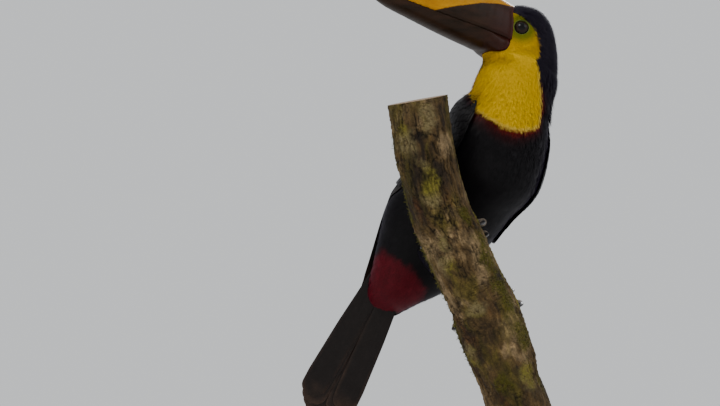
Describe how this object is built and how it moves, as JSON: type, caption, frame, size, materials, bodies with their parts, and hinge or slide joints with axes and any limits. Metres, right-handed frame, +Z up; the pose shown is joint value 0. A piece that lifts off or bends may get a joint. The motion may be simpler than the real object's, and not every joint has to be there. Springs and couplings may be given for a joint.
{
  "type": "yellow-throated toucan model",
  "caption": "Still life-size model of a yellow-throated toucan gripping a short cut branch, its head turned over its shoulder, held up by a plain round stand.",
  "frame": {"origin": "centre of the underside of the round stand base", "axes": "+Z up, out of the stand's top; the breast faces -Y and the turned head points its bill along -X"},
  "size_m": [0.26, 0.2286, 0.5785],
  "materials": {
    "feathers_black": "glossy black plumage with a violet tint at the nape",
    "feathers_yellow": "fine golden-yellow feathers",
    "bill_yellow": "satin horn, yellow over dark chestnut",
    "bill_dark": "satin dark chestnut horn",
    "eye": "wet gloss, very dark brown",
    "leg": "scaled blue-grey skin",
    "claw": "polished black horn",
    "bark": "rough bark with lichen and moss",
    "stand_wood": "dark stained wood, satin",
    "stand_metal": "brushed steel"
  },
  "bodies": {
    "root": {"head": "feathers_yellow", "neck": "feathers_yellow", "torso": "feathers_black", "bill_upper": "bill_yellow", "bill_lower": "bill_dark", "eye_l": "eye", "eye_r": "eye", "wing_l": "feathers_black", "wing_r": "feathers_black", "tail": "feathers_black", "thigh_l": "feathers_black", "tarsus_l": "leg", "foot_l": "leg", "toe_l_inner_front": "leg", "claw_l_inner_front": "claw", "toe_l_outer_front": "leg", "claw_l_outer_front": "claw", "toe_l_inner_rear": "leg", "claw_l_inner_rear": "claw", "toe_l_outer_rear": "leg", "claw_l_outer_rear": "claw", "thigh_r": "feathers_black", "tarsus_r": "leg", "foot_r": "leg", "toe_r_inner_front": "leg", "claw_r_inner_front": "claw", "toe_r_outer_front": "leg", "claw_r_outer_front": "claw", "toe_r_inner_rear": "leg", "claw_r_inner_rear": "claw", "toe_r_outer_rear": "leg", "claw_r_outer_rear": "claw", "branch": "bark", "stand_base": "stand_wood", "stand_rod": "stand_metal"}
  },
  "joints": []
}
